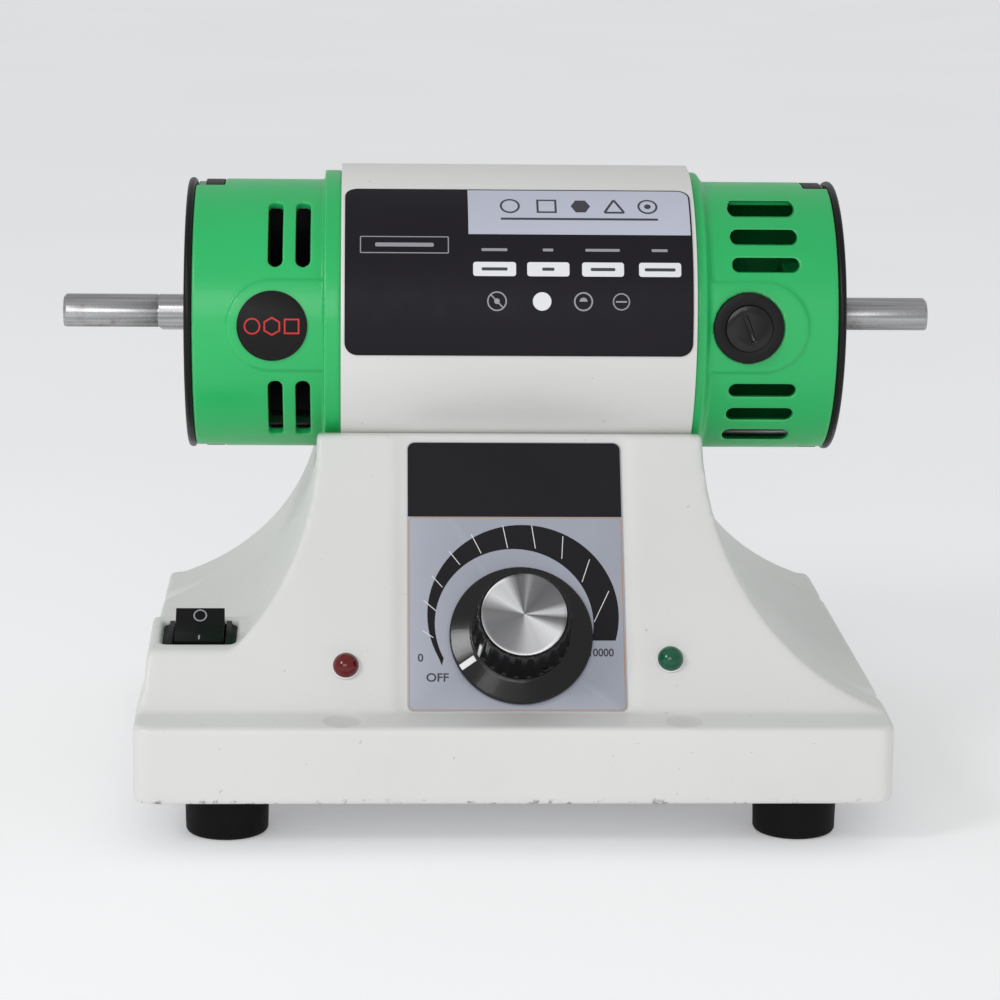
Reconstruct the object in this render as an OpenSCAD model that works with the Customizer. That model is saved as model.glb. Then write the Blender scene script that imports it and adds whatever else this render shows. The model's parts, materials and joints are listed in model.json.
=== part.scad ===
// Double-ended bench spindle motor on a cast stand, for cabochon and jade polishing.
// Millimetres. X runs along the spindle, the control panel faces -Y, +Z is up.
// Origin: middle of the whole object's outline, on the surface that the feet rest on.
// The modules below are laid out from the middle of the stand's footprint; placed() moves them.

/* [Stand] */
// Width of the cast stand, along the spindle
base_w = 240; // [232:1:260]
// Depth of the cast stand, front to back
base_d = 215; // [213:1:225]
// Height of the rubber feet
foot_h = 15; // [12:0.5:18]
// Top of the foot slab above the ground
slab_z = 40; // [38:0.5:42]
// Depth of the flat ledge in front of the panel
ledge_d = 14.4; // [12:0.2:16]
// Top of the neck above the ground
neck_z = 121; // [118:0.5:122]
// Half depth of the neck at its top
neck_y = 42.3; // [40:0.1:46]
// Radius of the hollow flare on each side
flare_r = 80.7; // [79:0.1:82]
// Wall of the casting
wall = 4.5; // [3.5:0.5:5.5]
// Diameter of the rubber feet
foot_dia = 27; // [22:0.5:30]

/* [Motor] */
// Spindle axis above the ground
axis_z = 155; // [153:0.5:160]
// Spindle diameter
spindle_dia = 12; // [10:0.5:13]
// Left tip of the spindle
tip_l = -148.7; // [-165:0.1:-130]
// Right tip of the spindle
tip_r = 142.8; // [130:0.1:165]
// Outer radius of the painted sleeve
sleeve_r = 50.3; // [49:0.1:51]
// Left end of the sleeve
sleeve_l = -55.5; // [-58:0.1:-50]
// Right end of the sleeve
sleeve_rt = 60; // [56:0.1:62]
// Outer radius of the green end shells
shell_r = 44.9; // [43:0.1:45.5]
// Wall of the end shells
shell_wall = 2.8; // [2.2:0.1:3.2]
// Turn of the motor in its saddle, in degrees
clock = 3; // [0:0.5:6]

/* [Controls] */
// Skirt diameter of the speed knob
knob_dia = 46; // [40:0.5:48]
// Height of the speed knob
knob_h = 23; // [18:0.5:26]
// Turn of the knob from OFF to full speed, in degrees
knob_turn = 225; // [180:5:270]
// Diameter of the lamp domes
lamp_dia = 8.5; // [6:0.5:9]
// Tilt of the mains switch shelf, in degrees
shelf_tilt = 10; // [6:1:14]

/* [Hidden] */
$fn = 96;

half_w = base_w / 2;
half_d = base_d / 2;
// Centre of the flare arc, so that it meets the slab's outer top edge
flare_z = 118;
flare_x = 63.4 + flare_r;
// Foot of the sloping panel
pf_y = -half_d + ledge_d;
pf_z = slab_z + 1;
panel_len = sqrt(pow(-neck_y - pf_y, 2) + pow(neck_z - pf_z, 2));
panel_ang = atan2(neck_z - pf_z, -neck_y - pf_y);
// Foot of the sloping back
bf_y = half_d - 9.5;
recess = 1.2;
knob_x = 2.6;
knob_t = 25.7;
off_ang = 210;
foot_x = 91.3;
foot_y = 83.8;
brush_x = 77.4;
badge_x = -77.8;
pad_r = 14.75;
sleeve_ri = sleeve_r - 3;
shell_ri = shell_r - shell_wall;
plate_l = -106.5;
plate_r = 109.5;
plate_t = 2.6;
flat_l = 1.4;
flat_r = 1.6;
sw_x = -100.6;
sw_y = -66.4;
sw_z = 61.1;
lamp_x = [-53.4, 50.3];
lamp_t = [15.6, 17.9];
// How far the cord gland stands out of the back
gland_out = 6.4;

// Moves children from the stand's middle to the middle of the whole outline, spindle tips and cord gland included
module placed() { translate([-(tip_l + tip_r) / 2, -gland_out / 2, 0]) children(); }
// Places children in the panel's own frame: x along the spindle, y up the slope, z out of the panel
module on_panel() { translate([0, pf_y, pf_z]) rotate([panel_ang, 0, 0]) children(); }
// Places children on the knob's axis, z out of the panel's label floor
module on_knob() { on_panel() translate([knob_x, knob_t, -recess]) children(); }
// Places children in the switch shelf's frame, z out of the shelf
module on_shelf() { translate([sw_x, sw_y, sw_z]) rotate([shelf_tilt, 0, 0]) children(); }
// Cylinder along X, centred on the spindle axis
module xcyl(r, x0, x1) { translate([x0, 0, axis_z]) rotate([0, 90, 0]) cylinder(r = r, h = x1 - x0); }
// Places children so that their +Z points radially out at angle a above the front
module radial(x, a) { translate([x, 0, axis_z]) rotate([-(a + clock), 0, 0]) rotate([90, 0, 0]) children(); }
// Wedge of the plane normal to the spindle from angle a0 to a1 above the front, extruded in X
module wedge(x0, x1, a0, a1, r = 80) {
  n = 8;
  translate([x0, 0, axis_z]) rotate([-clock, 0, 0]) rotate([90, 0, 90]) linear_extrude(x1 - x0)
    polygon(concat([[0, 0]], [for (i = [0:n]) let (a = a0 + (a1 - a0) * i / n) [-r * cos(a), r * sin(a)]]));
}
// Rectangle with round corners, in the plane
module round_rect(w, d, r) {
  square([w - 2 * r, d], center = true);
  square([w, d - 2 * r], center = true);
  for (sx = [-1, 1], sy = [-1, 1]) translate([sx * (w / 2 - r), sy * (d / 2 - r)]) circle(r);
}

// ---- stand ----
module side_profile() {
  polygon([[-half_d, foot_h], [-half_d, slab_z], [pf_y, pf_z], [-neck_y, neck_z],
    [neck_y, neck_z], [bf_y, pf_z], [half_d, slab_z + 0.4], [half_d, foot_h]]);
}
module cavity_profile() {
  kf = (-neck_y - pf_y) / (neck_z - pf_z);
  kb = (bf_y - neck_y) / (neck_z - pf_z);
  of = wall * sqrt(1 + kf * kf);
  ob = wall * sqrt(1 + kb * kb);
  zt = neck_z - 13;
  zs = slab_z - wall;
  polygon([[-half_d + wall, foot_h - 1], [-half_d + wall, zs], [pf_y + of + (zs - pf_z) * kf, zs],
    [pf_y + of + (zt - pf_z) * kf, zt], [bf_y - ob - (zt - pf_z) * kb, zt],
    [bf_y - ob - (zs - pf_z) * kb, zs], [half_d - wall, zs], [half_d - wall, foot_h - 1]]);
}
module flares(r) {
  for (s = [-1, 1]) translate([s * flare_x, 0, flare_z]) rotate([90, 0, 0]) cylinder(r = r, h = 260, center = true, $fn = 180);
}
module groove(s, y) {
  // shallow scoop that deepens towards the stand's outer edge
  intersection() {
    translate([s * 176.9, y, 155.3]) rotate([90, 0, 0]) rotate_extrude($fn = 180) translate([122.7, 0]) circle(7.3);
    translate([s * 116, y, 45]) cube([50, 30, 60], center = true);
  }
}
module shelf_block() {
  intersection() {
    translate([-125, 0, 0]) rotate([90, 0, 90]) linear_extrude(50)
      polygon([[pf_y - 1.27, pf_z - 2], [-82.1, 58.3], [-54, 63.25], [-54, pf_z - 4], [pf_y, pf_z - 4]]);
    translate([0, -40, 0]) rotate([90, 0, 0]) linear_extrude(70)
      polygon([[-half_w, 36], [-half_w, 40], [-118.9, 43.3], [-117.5, 48.5], [-116.6, 58.3], [-116.3, 66], [-80, 66], [-80, 36]]);
  }
}
module base_casting() {
  color([0.84, 0.84, 0.83])
  difference() {
    union() {
      difference() {
        intersection() {
          translate([-half_w, 0, 0]) rotate([90, 0, 90]) linear_extrude(base_w) side_profile();
          linear_extrude(200) round_rect(base_w, base_d, 5);
        }
        flares(flare_r);
        xcyl(sleeve_r + 0.15, -100, 100);
        difference() {
          intersection() {
            translate([-half_w + wall, 0, 0]) rotate([90, 0, 90]) linear_extrude(base_w - 2 * wall) cavity_profile();
            linear_extrude(200) round_rect(base_w - 2 * wall, base_d - 2 * wall, 3);
          }
          flares(flare_r + wall);
          xcyl(sleeve_r + 0.15 + wall, -100, 100);
        }
        groove(1, -71);
        groove(1, 64);
        groove(-1, 64);
      }
      shelf_block();
      // screw bosses over the feet
      for (sx = [-1, 1], sy = [-1, 1]) translate([sx * foot_x, sy * foot_y, foot_h + 1.8]) cylinder(d = 12, h = (sy < 0 ? 28.7 : 33.2));
    }
    // pocket of the mains switch, and the cut-out through its floor
    on_shelf() translate([-12.1, -9.5, -3.62]) cube([24.2, 19, 12]);
    on_shelf() translate([-10.6, -9.1, -30]) cube([21.2, 18.2, 30]);
    // label floor, with sloping sides
    on_panel() rotate([-90, 0, 0]) translate([0, 0, -0.2]) linear_extrude(panel_len + 10)
      polygon([[-38.6, -0.01], [-38.6, -4], [41.2, -4], [41.2, -0.01], [37.2, recess], [-34.8, recess]]);
    // round marks on the ledge
    for (x = [-54.2, 53.7]) translate([x, -half_d + 7.4, slab_z + 0.05]) cylinder(d = 12, h = 5);
    on_panel() translate([knob_x, knob_t, -10]) cylinder(d = 7.2, h = 20);
    for (i = [0, 1]) on_panel() translate([lamp_x[i], lamp_t[i], -10]) cylinder(d = 6.4, h = 20);
    // tapped holes for the foot screws
    for (sx = [-1, 1], sy = [-1, 1]) translate([sx * foot_x, sy * foot_y, foot_h]) cylinder(d = 4.1, h = 15);
    // holes for the saddle bolts and the motor lead
    for (sx = [-1, 1]) translate([2 + sx * 42, 0, 80]) cylinder(d = 6.4, h = 40);
    translate([2, 0, 80]) cylinder(d = 10.4, h = 40);
    // hole in the back for the mains gland
    translate([70, half_d - 20, 27.5]) rotate([-90, 0, 0]) cylinder(d = 13, h = 40);
  }
}
module bottom_plate() {
  color([0.55, 0.55, 0.56]) difference() {
    translate([0, 0, foot_h]) linear_extrude(1.5) round_rect(base_w - 2 * wall - 0.6, base_d - 2 * wall - 0.6, 3);
    for (sx = [-1, 1], sy = [-1, 1]) translate([sx * foot_x, sy * foot_y, foot_h - 1]) cylinder(d = 4.6, h = 5);
    for (i = [-4:4], j = [0, 1]) translate([i * 14 - 1.5, (j == 0 ? -50 : 30), foot_h - 1]) cube([3, 20, 4]);
  }
}
module rubber_feet() {
  color([0.06, 0.06, 0.065]) for (sx = [-1, 1], sy = [-1, 1]) translate([sx * foot_x, sy * foot_y, 0]) difference() {
    union() {
      cylinder(d1 = foot_dia - 1.6, d2 = foot_dia - 0.6, h = 1.2);
      translate([0, 0, 1.2]) cylinder(d1 = foot_dia - 0.6, d2 = foot_dia, h = foot_h - 1.25);
    }
    translate([0, 0, -1]) cylinder(d = 10, h = 7);
    cylinder(d = 4.6, h = foot_h + 2);
  }
}
module foot_screws() {
  color("silver") for (sx = [-1, 1], sy = [-1, 1]) translate([sx * foot_x, sy * foot_y, 0]) difference() {
    union() {
      translate([0, 0, 3.2]) cylinder(d = 8.6, h = 2.75);
      translate([0, 0, 5.9]) cylinder(d = 4, h = foot_h + 8);
    }
    for (a = [0, 90]) rotate(a) translate([-2.5, -0.5, 2]) cube([5, 1, 2.4]);
  }
}

// ---- motor ----
module motor_sleeve() {
  color([0.84, 0.84, 0.83]) difference() {
    xcyl(sleeve_r, sleeve_l, sleeve_rt);
    xcyl(sleeve_ri, sleeve_l - 1, sleeve_rt + 1);
    for (sx = [-1, 1]) translate([2 + sx * 42, 0, 100]) cylinder(d = 5.04, h = 12);
    translate([2, 0, 100]) cylinder(d = 10.4, h = 12);
  }
}
module saddle_bolts() {
  color("silver") for (sx = [-1, 1]) translate([2 + sx * 42, 0, 0]) difference() {
    union() {
      translate([0, 0, 94.6]) cylinder(d = 10, h = 5);
      translate([0, 0, 99.5]) cylinder(d = 5, h = 7.9);
    }
    translate([0, 0, 94.5]) cylinder(d = 4.6, h = 3, $fn = 6);
  }
}
// Raised U-shaped pad on both sides of a shell
module pads(xc, x_to) {
  for (s = [0, 180]) intersection() {
    xcyl(shell_r + 0.9, -110, 110);
    radial(0, s) translate([0, 0, 30]) linear_extrude(30) {
      translate([xc, 0]) circle(pad_r);
      translate([min(xc, x_to), -pad_r]) square([abs(x_to - xc), 2 * pad_r]);
    }
  }
}
// Slot that runs round the shell, with round ends
module ring_slot(x0, x1, a0, a1) {
  w = (x1 - x0) / 2;
  da = w / shell_r * 57.3;
  intersection() {
    wedge(x0, x1, a0 + da - 0.35, a1 - da + 0.35);
    difference() { xcyl(shell_r + 5, x0, x1); xcyl(34, x0 - 1, x1 + 1); }
  }
  for (a = [a0 + da, a1 - da]) radial((x0 + x1) / 2, a) translate([0, 0, 34]) cylinder(r = w, h = 20, $fn = 32);
}
// Slot that runs along the shell, with round ends, cut level from the front (s = 1) or the back (s = -1)
module level_slot(x0, x1, s, z, w = 4.5) {
  translate([0, 0, axis_z + s * z]) rotate([s * 90, 0, 0]) translate([0, 0, 16]) linear_extrude(40) {
    translate([x0 + w / 2, -w / 2]) square([x1 - x0 - w, w]);
    for (x = [x0 + w / 2, x1 - w / 2]) translate([x, 0]) circle(w / 2, $fn = 32);
  }
}
// Notches at the top and bottom of the rim, for the bolt heads
module rim_notches(x0, x1, w = 21.4, r0 = 35.4) {
  for (s = [90, 270]) radial(0, s) translate([x0, -w / 2, r0]) cube([x1 - x0, w, 20]);
}
module left_shell() {
  color([0.18, 0.72, 0.39]) difference() {
    union() {
      xcyl(shell_r, plate_l + plate_t, -59);
      xcyl(48, -61, sleeve_l - 0.1);
      xcyl(sleeve_ri - 0.25, sleeve_l - 0.2, sleeve_l + 8);
      pads(badge_x, -59.5);
    }
    difference() {
      xcyl(shell_ri, plate_l + plate_t + 4, sleeve_l + 20);
      // bearing boss
      xcyl(18, plate_l, -90);
    }
    xcyl(14, -98.1, -89);
    xcyl(9, -110, -80);
    for (s = [0, 180]) for (x = [-79.3, -70.3]) {
      ring_slot(x, x + 4.8, s + 25, s + 59.5);
      ring_slot(x, x + 4.8, s - 59.5, s - 24.5);
    }
    rim_notches(plate_l + plate_t - 1, -94.4);
    // hole for the plate screw
    radial(0, 180 - 25) translate([-101, 0, 33.5]) rotate([0, 90, 0]) cylinder(d = 4.04, h = 12, center = true);
  }
}
module right_shell() {
  color([0.18, 0.72, 0.39]) difference() {
    union() {
      xcyl(shell_r, 63, plate_r - plate_t);
      xcyl(48, sleeve_rt + 0.1, 63.3);
      translate([63.2, 0, axis_z]) rotate([0, 90, 0]) cylinder(r1 = 48, r2 = shell_r - 0.2, h = 2.4);
      xcyl(sleeve_ri - 0.25, sleeve_rt - 8, sleeve_rt + 0.2);
      pads(82.2, 63.2);
    }
    difference() {
      xcyl(shell_ri, sleeve_rt - 20, plate_r - plate_t - 4);
      xcyl(18, 93, 115);
    }
    xcyl(14, 92, 101.1);
    xcyl(9, 85, 120);
    // level slots on the front half only: nothing shows through them from behind
    for (v = [[22.2, 0.4], [30.5, 0.2], [38.6, 0.2], [-19, 0.1], [-27.8, 0], [-36.4, -0.2]])
      level_slot(71.7 + v[1], 93.8 + v[1], 1, v[0]);
    // holes for the brush holders
    for (s = [0, 180]) radial(brush_x, s) translate([0, 0, 30]) cylinder(d = 23, h = 30);
    rim_notches(98.8, plate_r - plate_t + 1);
  }
}
module end_plate(x0) {
  difference() {
    union() {
      xcyl(44, x0, x0 + plate_t);
      translate([x0 + plate_t / 2, 0, axis_z]) rotate([0, 90, 0]) rotate_extrude() translate([44, 0]) circle(plate_t / 2, $fn = 32);
    }
    xcyl(spindle_dia / 2 + 0.6, x0 - 5, x0 + 9);
  }
}
module left_end_plate() {
  color([0.07, 0.07, 0.07]) difference() {
    union() { end_plate(plate_l); xcyl(20, plate_l - 0.8, plate_l + 0.5); }
    xcyl(spindle_dia / 2 + 0.6, plate_l - 5, plate_l + 9);
    radial(0, 180 - 25) translate([plate_l + 1, 0, 33.5]) rotate([0, 90, 0]) cylinder(d = 4.2, h = 10, center = true);
  }
}
module right_end_plate() {
  color([0.07, 0.07, 0.07]) difference() {
    union() { end_plate(plate_r - plate_t); xcyl(20, plate_r - 0.5, plate_r + 0.8); }
    xcyl(spindle_dia / 2 + 0.6, plate_r - 9, plate_r + 5);
  }
}
module plate_screw() {
  // pan head on the left plate, above the spindle towards the back
  color("silver") radial(0, 180 - 25) translate([plate_l, 0, 33.5]) rotate([0, 90, 0]) difference() {
    union() {
      translate([0, 0, -0.75]) cylinder(d = 11.4, h = 0.7);
      translate([0, 0, -2.0]) cylinder(d1 = 8.6, d2 = 11.4, h = 1.3);
      translate([0, 0, -2.6]) cylinder(d1 = 5, d2 = 8.6, h = 0.65);
      translate([0, 0, -0.1]) cylinder(d = 4, h = 6);
    }
    translate([-3, -0.6, -3]) cube([6, 1.2, 1.6]);
  }
}
module rim_block(x0, x1) {
  for (s = [90, 270]) difference() {
    intersection() {
      xcyl(shell_r - 0.1, x0, x1);
      radial(0, s) translate([x0, -10.4, 35.6]) cube([x1 - x0, 20.8, 20]);
    }
    radial(0, s) translate([0, 0, 40]) rotate([0, 90, 0]) cylinder(d = 4.2, h = 240, center = true);
  }
}
module rim_blocks() { color([0.1, 0.09, 0.1]) { rim_block(-100.6, -94.6); rim_block(99, 105); } }
module shell_bolts() {
  color("silver") for (s = [90, 270]) {
    radial(0, s) translate([0, 0, 40]) rotate([0, 90, 0]) {
      translate([0, 0, 105.1]) cylinder(d1 = 8, d2 = 7.2, h = 1.6);
      translate([0, 0, 22]) cylinder(d = 4, h = 83.2);
    }
    radial(0, s) translate([0, 0, 40]) rotate([0, 90, 0]) {
      translate([0, 0, -103.7]) cylinder(d1 = 6.6, d2 = 8, h = 3);
      translate([0, 0, -100.8]) cylinder(d = 4, h = 82.8);
    }
  }
}
module spindle() {
  color([0.6, 0.6, 0.61]) difference() {
    union() {
      xcyl(spindle_dia / 2, tip_l + 1, tip_r - 1);
      translate([tip_l, 0, axis_z]) rotate([0, 90, 0]) cylinder(r1 = spindle_dia / 2 - 1, r2 = spindle_dia / 2, h = 1);
      translate([tip_r - 1, 0, axis_z]) rotate([0, 90, 0]) cylinder(r1 = spindle_dia / 2, r2 = spindle_dia / 2 - 1, h = 1);
      xcyl(8, -86, 90);
    }
    // ground flats on the underside of both ends, the left one with a sloping run-out
    translate([tip_l - 5, -10, axis_z - spindle_dia / 2 + flat_l - 5]) cube([-tip_l - 116.7 + 5, 20, 5]);
    translate([108.5, -10, axis_z - spindle_dia / 2 + flat_r - 5]) cube([50, 20, 5]);
    rotate([90, 0, 0]) linear_extrude(20, center = true)
      polygon([[-116.9, axis_z - spindle_dia / 2 - 0.1], [-116.9, axis_z - spindle_dia / 2 + flat_l], [-116.7, axis_z - spindle_dia / 2 + flat_l], [-115.2, axis_z - spindle_dia / 2 - 0.1]]);
    // shallow turned grooves: where the left flat starts, and where the right end meets its plate
    difference() { xcyl(7, -117.2, -116.7); xcyl(5.75, -119, -115); }
    difference() { xcyl(7, 109.4, 110.6); xcyl(5.6, 108, 112); }
    // centre holes
    translate([tip_l - 0.1, 0, axis_z]) rotate([0, 90, 0]) cylinder(r1 = 1.9, r2 = 0.6, h = 2.4, $fn = 32);
    translate([tip_r + 0.1, 0, axis_z]) rotate([0, -90, 0]) cylinder(r1 = 1.9, r2 = 0.6, h = 2.4, $fn = 32);
  }
}
module armature_core() {
  color([0.45, 0.46, 0.48]) difference() {
    xcyl(25.8, -24, 28);
    xcyl(8.03, -30, 40);
    for (i = [0:11]) translate([-30, 0, axis_z]) rotate([i * 30, 0, 0]) translate([0, 21, 0]) rotate([0, 90, 0]) cylinder(r = 3, h = 70, $fn = 32);
  }
}
module armature_windings() {
  color([0.72, 0.38, 0.2]) {
    for (i = [0:11]) translate([-30, 0, axis_z]) rotate([i * 30, 0, 0]) translate([0, 21, 0]) rotate([0, 90, 0]) cylinder(r = 2.8, h = 66, $fn = 32);
    for (x = [[-36, -25], [29, 40]]) difference() {
      union() {
        xcyl(23.8, x[0] + 2, x[1] - 2);
        xcyl(21.5, x[0], x[1]);
      }
      xcyl(9, x[0] - 1, x[1] + 1);
    }
  }
}
module commutator() {
  color([0.75, 0.45, 0.25]) difference() {
    union() { xcyl(13, 66, 88); xcyl(15, 64, 67); }
    xcyl(8.03, 60, 90);
    for (i = [0:23]) translate([67.5, 0, axis_z]) rotate([i * 15, 0, 0]) translate([0, 12.2, -0.3]) cube([25, 2, 0.6]);
  }
}
module cooling_fan() {
  color([0.08, 0.08, 0.085]) difference() {
    union() {
      xcyl(13, -80, -62);
      xcyl(34, -63.6, -62);
      // rim of the fan
      difference() { xcyl(36.5, -66, -62); xcyl(35, -67, -61); }
      difference() { xcyl(35.2, -63.6, -62); xcyl(33, -64, -61); }
      for (i = [0:11]) translate([-79, 0, axis_z]) rotate([i * 30, 0, 0]) translate([0, 12, -0.8]) cube([15.6, 23.2, 1.6]);
    }
    xcyl(8.03, -90, -50);
  }
}
module stator_core() {
  color([0.4, 0.41, 0.43]) difference() {
    union() {
      difference() { xcyl(sleeve_ri - 0.05, -26, 30); xcyl(37.4, -27, 31); }
      for (s = [0, 180]) intersection() {
        difference() { xcyl(38, -26, 30); xcyl(26.3, -27, 31); }
        wedge(-26, 30, s - 48, s + 48);
      }
    }
    for (s = [90, 270]) radial(0, s) translate([0, 0, 40]) rotate([0, 90, 0]) cylinder(d = 4.1, h = 240, center = true);
    translate([2, 0, 95]) cylinder(d = 10.4, h = 20);
  }
}
module field_coil(s) {
  difference() {
    intersection() {
      difference() { xcyl(37, -37, 41); xcyl(28, -38, 42); }
      wedge(-37, 41, s - 87, s + 87);
    }
    intersection() {
      difference() { xcyl(40, -27, 31); xcyl(25, -28, 32); }
      wedge(-27, 31, s - 49, s + 49);
    }
  }
}
module field_coils() { color([0.7, 0.36, 0.18]) { field_coil(0); field_coil(180); } }

module bearing_outer(x0) {
  difference() { xcyl(13.98, x0, x0 + 8); xcyl(11.6, x0 - 1, x0 + 9);
    translate([x0 + 4, 0, axis_z]) rotate([0, 90, 0]) rotate_extrude() translate([10, 0]) circle(2.6, $fn = 48); }
}
module bearing_inner(x0) {
  difference() { xcyl(8.4, x0, x0 + 8); xcyl(spindle_dia / 2 + 0.02, x0 - 1, x0 + 9);
    translate([x0 + 4, 0, axis_z]) rotate([0, 90, 0]) rotate_extrude() translate([10, 0]) circle(2.6, $fn = 48); }
}
module bearing_balls(x0) { for (i = [0:7]) translate([x0 + 4, 0, axis_z]) rotate([i * 45, 0, 0]) translate([0, 10, 0]) sphere(d = 4.8, $fn = 48); }
module left_bearing_outer() { color("silver") bearing_outer(-98); }
module left_bearing_inner() { color("silver") bearing_inner(-98); }
module left_bearing_balls() { color("silver") bearing_balls(-98); }
module right_bearing_outer() { color("silver") bearing_outer(93); }
module right_bearing_inner() { color("silver") bearing_inner(93); }
module right_bearing_balls() { color("silver") bearing_balls(93); }

module brush_holders() {
  color([0.08, 0.08, 0.09]) for (s = [0, 180]) radial(brush_x, s) difference() {
    union() {
      translate([0, 0, 43.4]) cylinder(d = 22.9, h = 3);
      translate([0, 0, 17]) cylinder(d = 16.4, h = 27);
    }
    translate([0, 0, 40]) cylinder(d = 15.3, h = 10);
    translate([0, 0, 10]) translate([-4.1, -3.35, 0]) cube([8.2, 6.7, 32]);
  }
}
module brush_caps() {
  color([0.1, 0.1, 0.11]) for (s = [0, 180]) radial(brush_x, s) difference() {
    translate([0, 0, 42]) cylinder(d = 15.2, h = 4.9);
    rotate(20 + 90) translate([-4.6, -0.8, 45.3]) cube([9.2, 1.6, 3]);
  }
}
module carbon_brushes() {
  color([0.15, 0.15, 0.16]) for (s = [0, 180]) radial(brush_x, s) translate([-4, -3.25, 13.3]) cube([8, 6.5, 16]);
}
// Coil of round wire, as a swept tube
module coil_spring(r, wire, h, turns) {
  k = 8; m = 12 * turns;
  pts = [for (i = [0:m]) let (a = i * 30, z = wire / 2 + (h - wire) * i / m)
    for (j = [0:k - 1]) let (b = j * 360 / k, rr = r + wire / 2 * cos(b))
      [rr * cos(a), rr * sin(a), z + wire / 2 * sin(b)]];
  polyhedron(points = pts, faces = concat(
    [[for (j = [0:k - 1]) j]], [[for (j = [k - 1:-1:0]) m * k + j]],
    [for (i = [0:m - 1]) for (j = [0:k - 1]) [i * k + j, (i + 1) * k + j, (i + 1) * k + (j + 1) % k, i * k + (j + 1) % k]]));
}
module brush_springs() {
  color("gold") for (s = [0, 180]) radial(brush_x, s) translate([0, 0, 29.5]) coil_spring(2.4, 0.6, 12.3, 5);
}
module left_badge() {
  color([0.07, 0.07, 0.07]) intersection() {
    difference() { xcyl(shell_r + 1.5, -110, 0); xcyl(shell_r + 0.92, -111, 1); }
    radial(badge_x, 0) translate([0, 0, 30]) cylinder(d = 22.9, h = 30);
  }
}
module rating_label() {
  color([0.12, 0.11, 0.13]) intersection() {
    difference() { xcyl(sleeve_r + 0.4, -54.3, 58.7); xcyl(sleeve_r + 0.02, -60, 70); }
    wedge(-54.3, 58.7, -7.1 - clock, 62 - clock);
  }
}
module control_label() {
  color([0.63, 0.65, 0.69]) on_panel() translate([1.2, 46.6, -recess + 0.02]) difference() {
    linear_extrude(0.5) round_rect(70.1, 92.2, 2.5);
    translate([knob_x - 1.2, knob_t - 46.6, -1]) cylinder(d = 7.4, h = 3);
  }
}

// ---- controls ----
module knob_body() {
  color([0.05, 0.05, 0.055]) on_knob() difference() {
    union() {
      // thin skirt with a sloping face
      translate([0, 0, 1]) cylinder(d = knob_dia, h = 1.6, $fn = 120);
      translate([0, 0, 2.6]) cylinder(d1 = knob_dia, d2 = 33, h = 2.6, $fn = 120);
      // grip
      difference() {
        translate([0, 0, 5]) cylinder(d1 = 31.6, d2 = 29.6, h = knob_h - 5.6);
        for (i = [0:23]) rotate(i * 15 + 7.5) translate([16.4, 0, 6.2]) rotate([0, -2.6, 0]) cylinder(r = 1.35, h = 30, $fn = 24);
      }
    }
    translate([0, 0, -1]) cylinder(d = 6.1, h = 15);
    // room for the nut
    translate([0, 0, -1]) cylinder(d = 18, h = 4.6);
    translate([0, 0, knob_h - 1.2]) cylinder(d = 27.4, h = 3);
    // hole for the set screw
    rotate(off_ang + 90) translate([0, 0, 9]) rotate([0, 90, 0]) cylinder(d = 3.05, h = 30);
  }
}
module knob_cap() {
  color([0.85, 0.85, 0.86]) on_knob() translate([0, 0, knob_h - 1.15]) {
    cylinder(d = 27.2, h = 1);
    translate([0, 0, 1]) cylinder(d1 = 27.2, d2 = 26.6, h = 0.4);
  }
}
module knob_pointer() {
  // white line on the skirt, and a short one on the grip
  color("white") on_knob() rotate(off_ang) {
    translate([22.4, 0, 2.86]) rotate([0, 21.8, 0]) translate([-5.6, -1, 0]) cube([5.6, 2, 0.35]);
    translate([15.8, 0, 5.6]) rotate([0, -3.3, 0]) translate([0, -0.6, 0]) cube([0.35, 1.2, 9]);
  }
}
module knob_set_screw() {
  color("silver") on_knob() rotate(off_ang + 90) translate([3.1, 0, 9]) rotate([0, 90, 0]) difference() {
    cylinder(d = 3, h = 7, $fn = 32);
    translate([0, 0, 5.5]) cylinder(d = 1.5, h = 3, $fn = 6);
  }
}
module potentiometer() {
  color([0.35, 0.36, 0.38]) on_knob() difference() {
    union() {
      translate([0, 0, -16.5]) cylinder(d = 24, h = 12);
      translate([0, 0, -5]) cylinder(d = 7, h = 8);
      translate([-7, -17, -12]) cube([14, 6, 1.2]);
    }
    translate([0, 0, -8]) cylinder(d = 6.12, h = 12);
  }
}
module potentiometer_nut() {
  // hexagon nut on the label, hidden by the knob
  color("silver") on_knob() difference() {
    translate([0, 0, 0.56]) cylinder(d = 11, h = 2, $fn = 6);
    translate([0, 0, -6]) cylinder(d = 7.05, h = 12);
  }
}
module potentiometer_shaft() { color("silver") on_knob() translate([0, 0, -7.9]) cylinder(d = 6, h = 21.6); }

module lamp_lens(i) {
  on_panel() translate([lamp_x[i], lamp_t[i], 0]) {
    difference() {
      intersection() {
        translate([0, 0, 0.2]) sphere(d = lamp_dia, $fn = 64);
        translate([-5, -5, 0.95]) cube([10, 10, 6]);
      }
    }
  }
}
module red_lamp_lens() { color([0.6, 0.03, 0.05]) lamp_lens(0); }
module green_lamp_lens() { color([0.02, 0.35, 0.2]) lamp_lens(1); }
module lamp_holders() {
  color("silver") for (i = [0, 1]) on_panel() translate([lamp_x[i], lamp_t[i], 0]) difference() {
    union() {
      translate([0, 0, 0.02]) cylinder(d = 9, h = 0.9);
      translate([0, 0, -13]) cylinder(d = 6.2, h = 13.2);
    }
    translate([0, 0, -14]) cylinder(d = 4, h = 13);
  }
}
module lamp_nuts() {
  color("silver") for (i = [0, 1]) on_panel() translate([lamp_x[i], lamp_t[i], -7.2]) difference() {
    cylinder(d = 10, h = 2.4, $fn = 6);
    translate([0, 0, -1]) cylinder(d = 6.25, h = 6);
  }
}

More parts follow.
